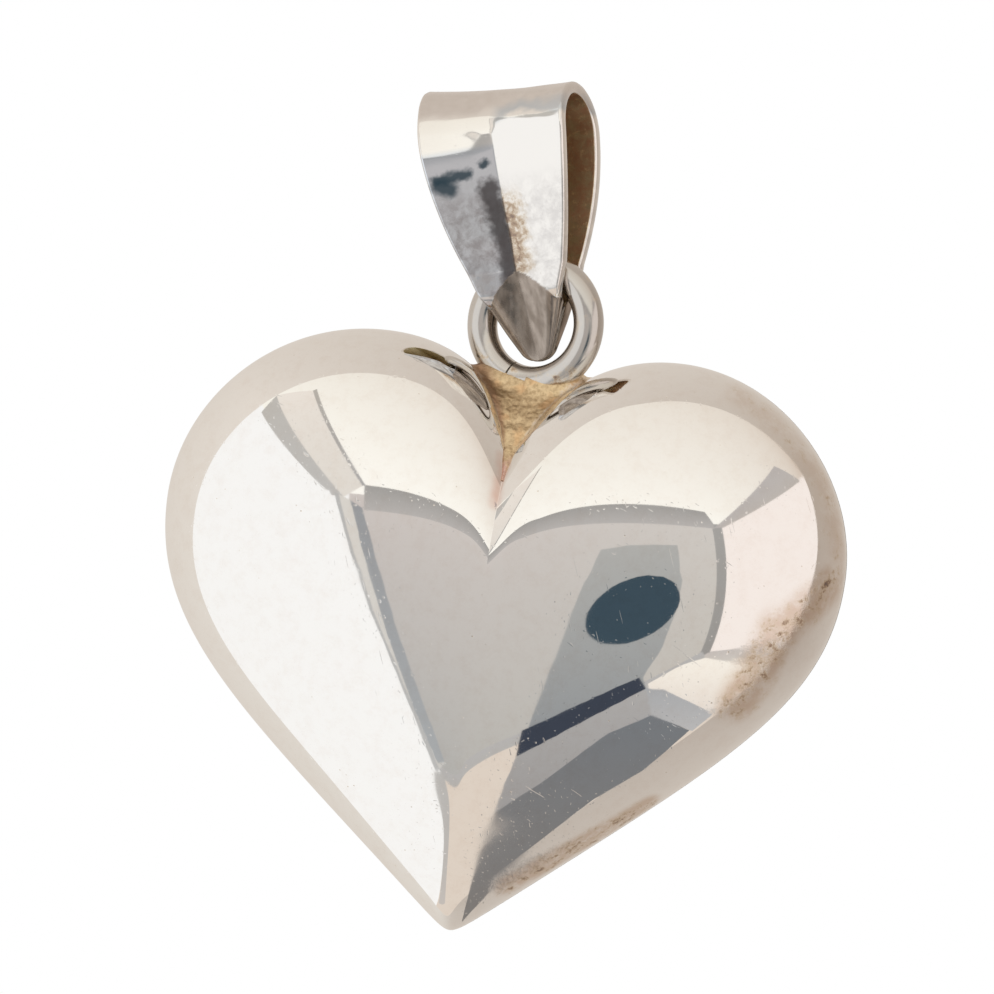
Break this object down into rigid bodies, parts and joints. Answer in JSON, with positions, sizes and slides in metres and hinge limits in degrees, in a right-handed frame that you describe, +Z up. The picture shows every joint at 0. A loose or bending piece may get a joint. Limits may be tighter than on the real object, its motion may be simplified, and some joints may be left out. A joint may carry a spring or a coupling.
{
  "type": "puffy heart pendant",
  "caption": "Puffy heart pendant: two domed cups soldered rim to rim, a wire ring soldered in the cleft, and a folded, ridged bail that swings round the ring and takes a chain.",
  "frame": {"origin": "under the inside of the bail's crest, on its centre line, where the chain lies", "axes": "+Z up along the heart's own axis, -Y out of the heart's front, +X to the right of the front; the bail leans and turns a little, as in the picture"},
  "size_m": [0.0341, 0.0128, 0.0426],
  "materials": {
    "polished_silver": "hand polished, with fine scratches and a brown pitted tarnish on one flank",
    "drawn_silver": "drawn wire, lightly polished",
    "rolled_silver": "rolled sheet, polished outside, tarnished inside, filed at the tip",
    "cleft_solder": "rough, golden brown, unpolished",
    "seam_solder": "dull grey line",
    "tip_solder": "dull grey"
  },
  "bodies": {
    "bail": {"bail": "rolled_silver", "bail_tip_solder": "tip_solder"},
    "heart": {"front_shell": "polished_silver", "rear_shell": "polished_silver", "seam_solder": "seam_solder", "loop_ring": "drawn_silver", "cleft_solder": "cleft_solder"}
  },
  "joints": [
    {"name": "ring_swing", "type": "hinge", "parent": "bail", "child": "heart", "pos_m": [0.0032, -0.00092, -0.0109], "axis": [0.2756, 0.9613, 0], "range_deg": [-81, 49]}
  ]
}
